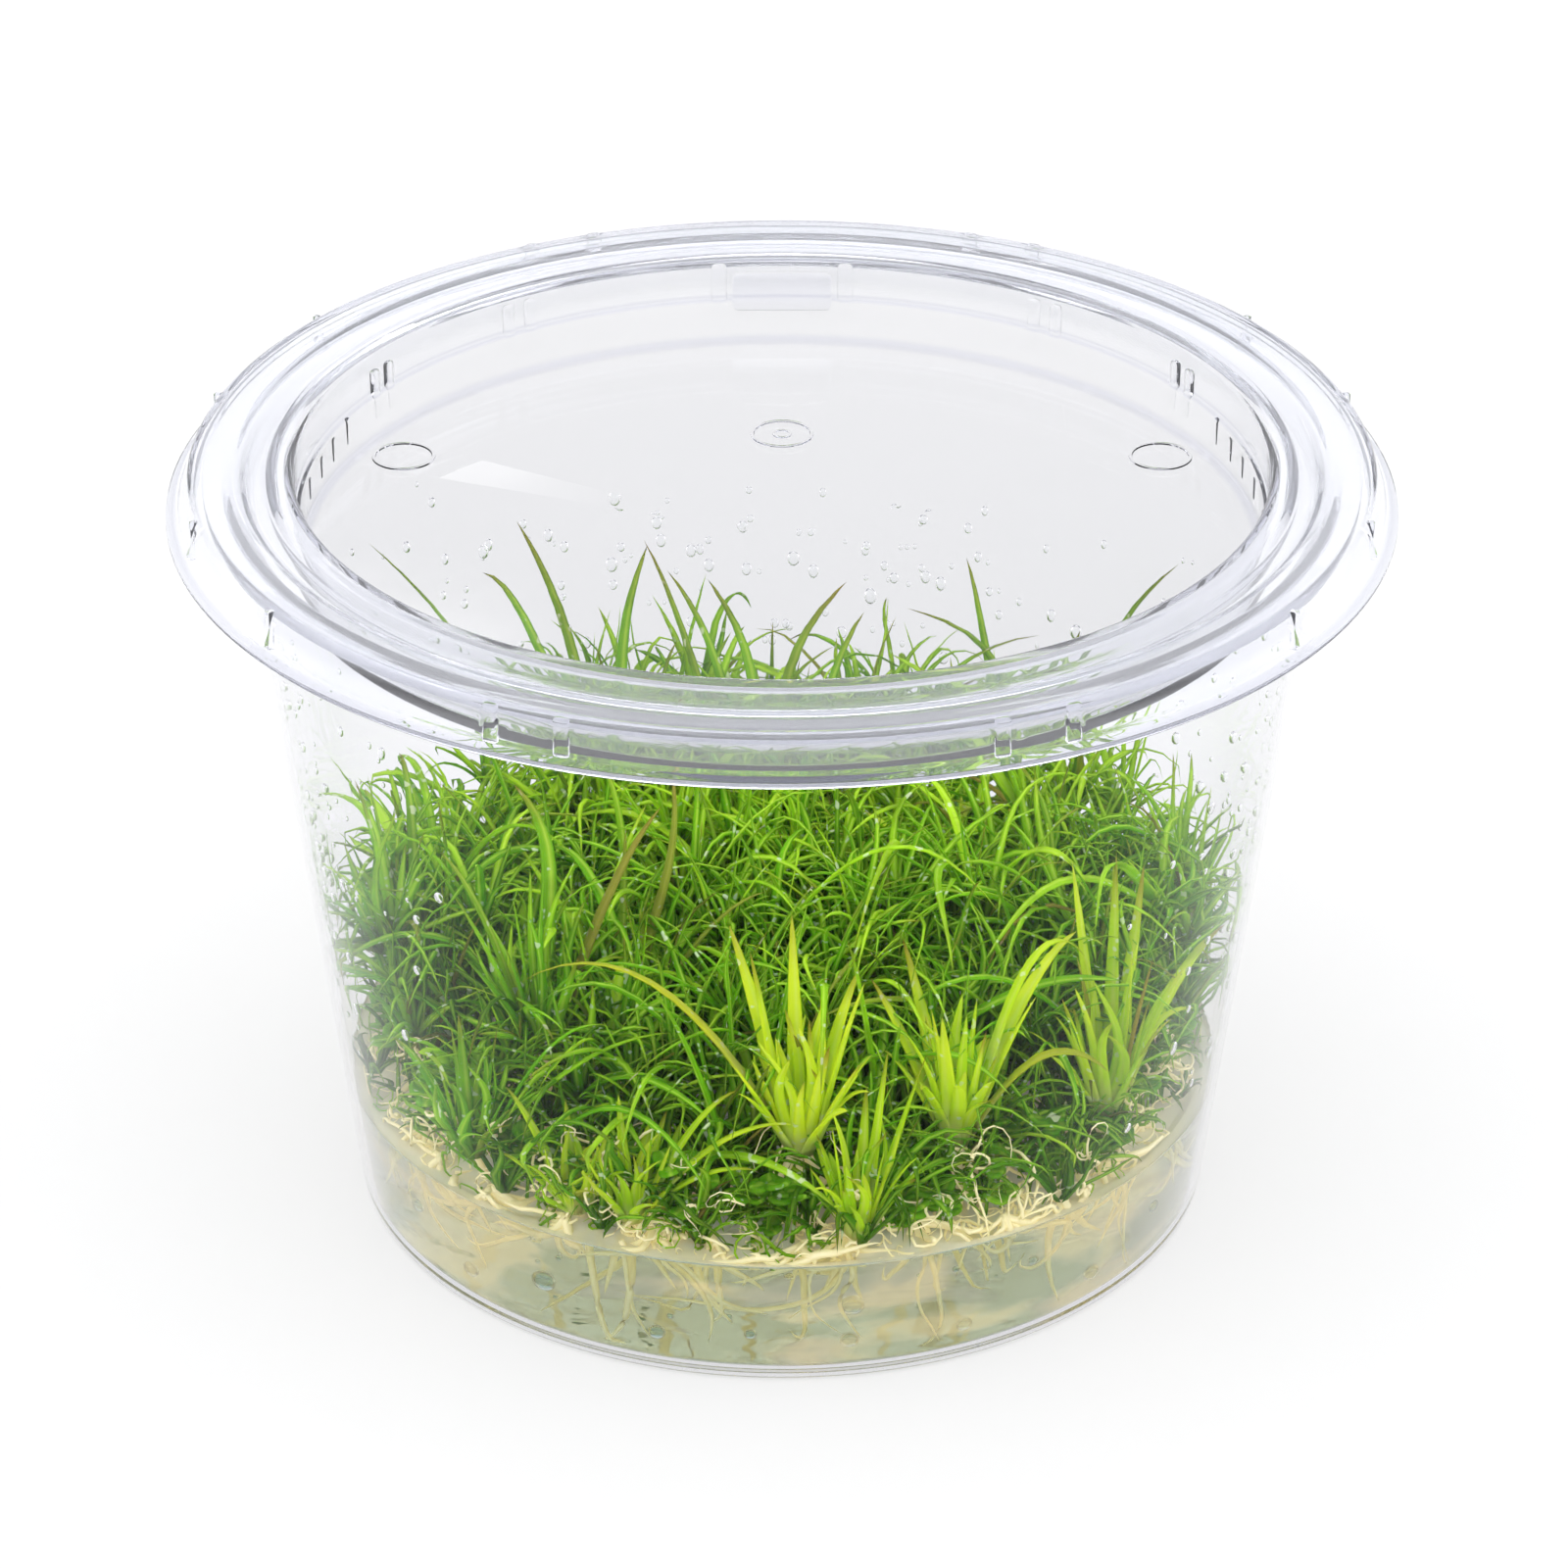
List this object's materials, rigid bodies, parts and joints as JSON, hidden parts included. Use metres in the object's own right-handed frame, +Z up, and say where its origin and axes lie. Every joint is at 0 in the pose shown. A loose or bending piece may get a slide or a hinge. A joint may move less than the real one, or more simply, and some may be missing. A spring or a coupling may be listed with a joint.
{
  "type": "aquarium plant in a tissue culture cup",
  "caption": "Bed of small grass-like pipewort plants on pale nutrient gel, sealed in a clear conical cup with a recessed press-fit lid.",
  "frame": {"origin": "middle of the cup's flat underside, on the surface that it stands on", "axes": "+Z up along the cup's axis; -Y is the side seen first, +X to its right; the lid's stacking block is at +Y"},
  "size_m": [0.0996, 0.0996, 0.0661],
  "materials": {
    "clear_cup": "clear, glossy, thin-walled",
    "clear_lid": "clear, glossy, faint violet-grey edges",
    "nutrient_gel": "set, wet, translucent cream-yellow gel",
    "bright_leaf": "wet, thin, translucent yellow-green leaf",
    "green_leaf": "wet, thin, translucent green leaf",
    "root": "thin cream root",
    "water_drop": "clear drop of condensed water"
  },
  "bodies": {
    "root": {"cup": "clear_cup", "lid": "clear_lid", "agar_gel": "nutrient_gel", "eriocaulon_01": "bright_leaf", "eriocaulon_02": "bright_leaf", "eriocaulon_03": "bright_leaf", "eriocaulon_04": "bright_leaf", "eriocaulon_05": "bright_leaf", "eriocaulon_06": "bright_leaf", "eriocaulon_07": "bright_leaf", "eriocaulon_08": "green_leaf", "eriocaulon_09": "green_leaf", "eriocaulon_10": "green_leaf", "eriocaulon_11": "green_leaf", "eriocaulon_12": "green_leaf", "eriocaulon_13": "green_leaf", "eriocaulon_14": "green_leaf", "eriocaulon_15": "green_leaf", "eriocaulon_16": "green_leaf", "eriocaulon_17": "green_leaf", "eriocaulon_18": "green_leaf", "eriocaulon_19": "green_leaf", "eriocaulon_20": "green_leaf", "eriocaulon_21": "green_leaf", "eriocaulon_22": "green_leaf", "eriocaulon_23": "green_leaf", "eriocaulon_24": "green_leaf", "eriocaulon_25": "green_leaf", "eriocaulon_26": "green_leaf", "eriocaulon_27": "green_leaf", "eriocaulon_28": "green_leaf", "eriocaulon_29": "green_leaf", "eriocaulon_30": "green_leaf", "eriocaulon_31": "green_leaf", "eriocaulon_32": "green_leaf", "eriocaulon_33": "green_leaf", "eriocaulon_34": "green_leaf", "eriocaulon_35": "green_leaf"}
  },
  "joints": []
}
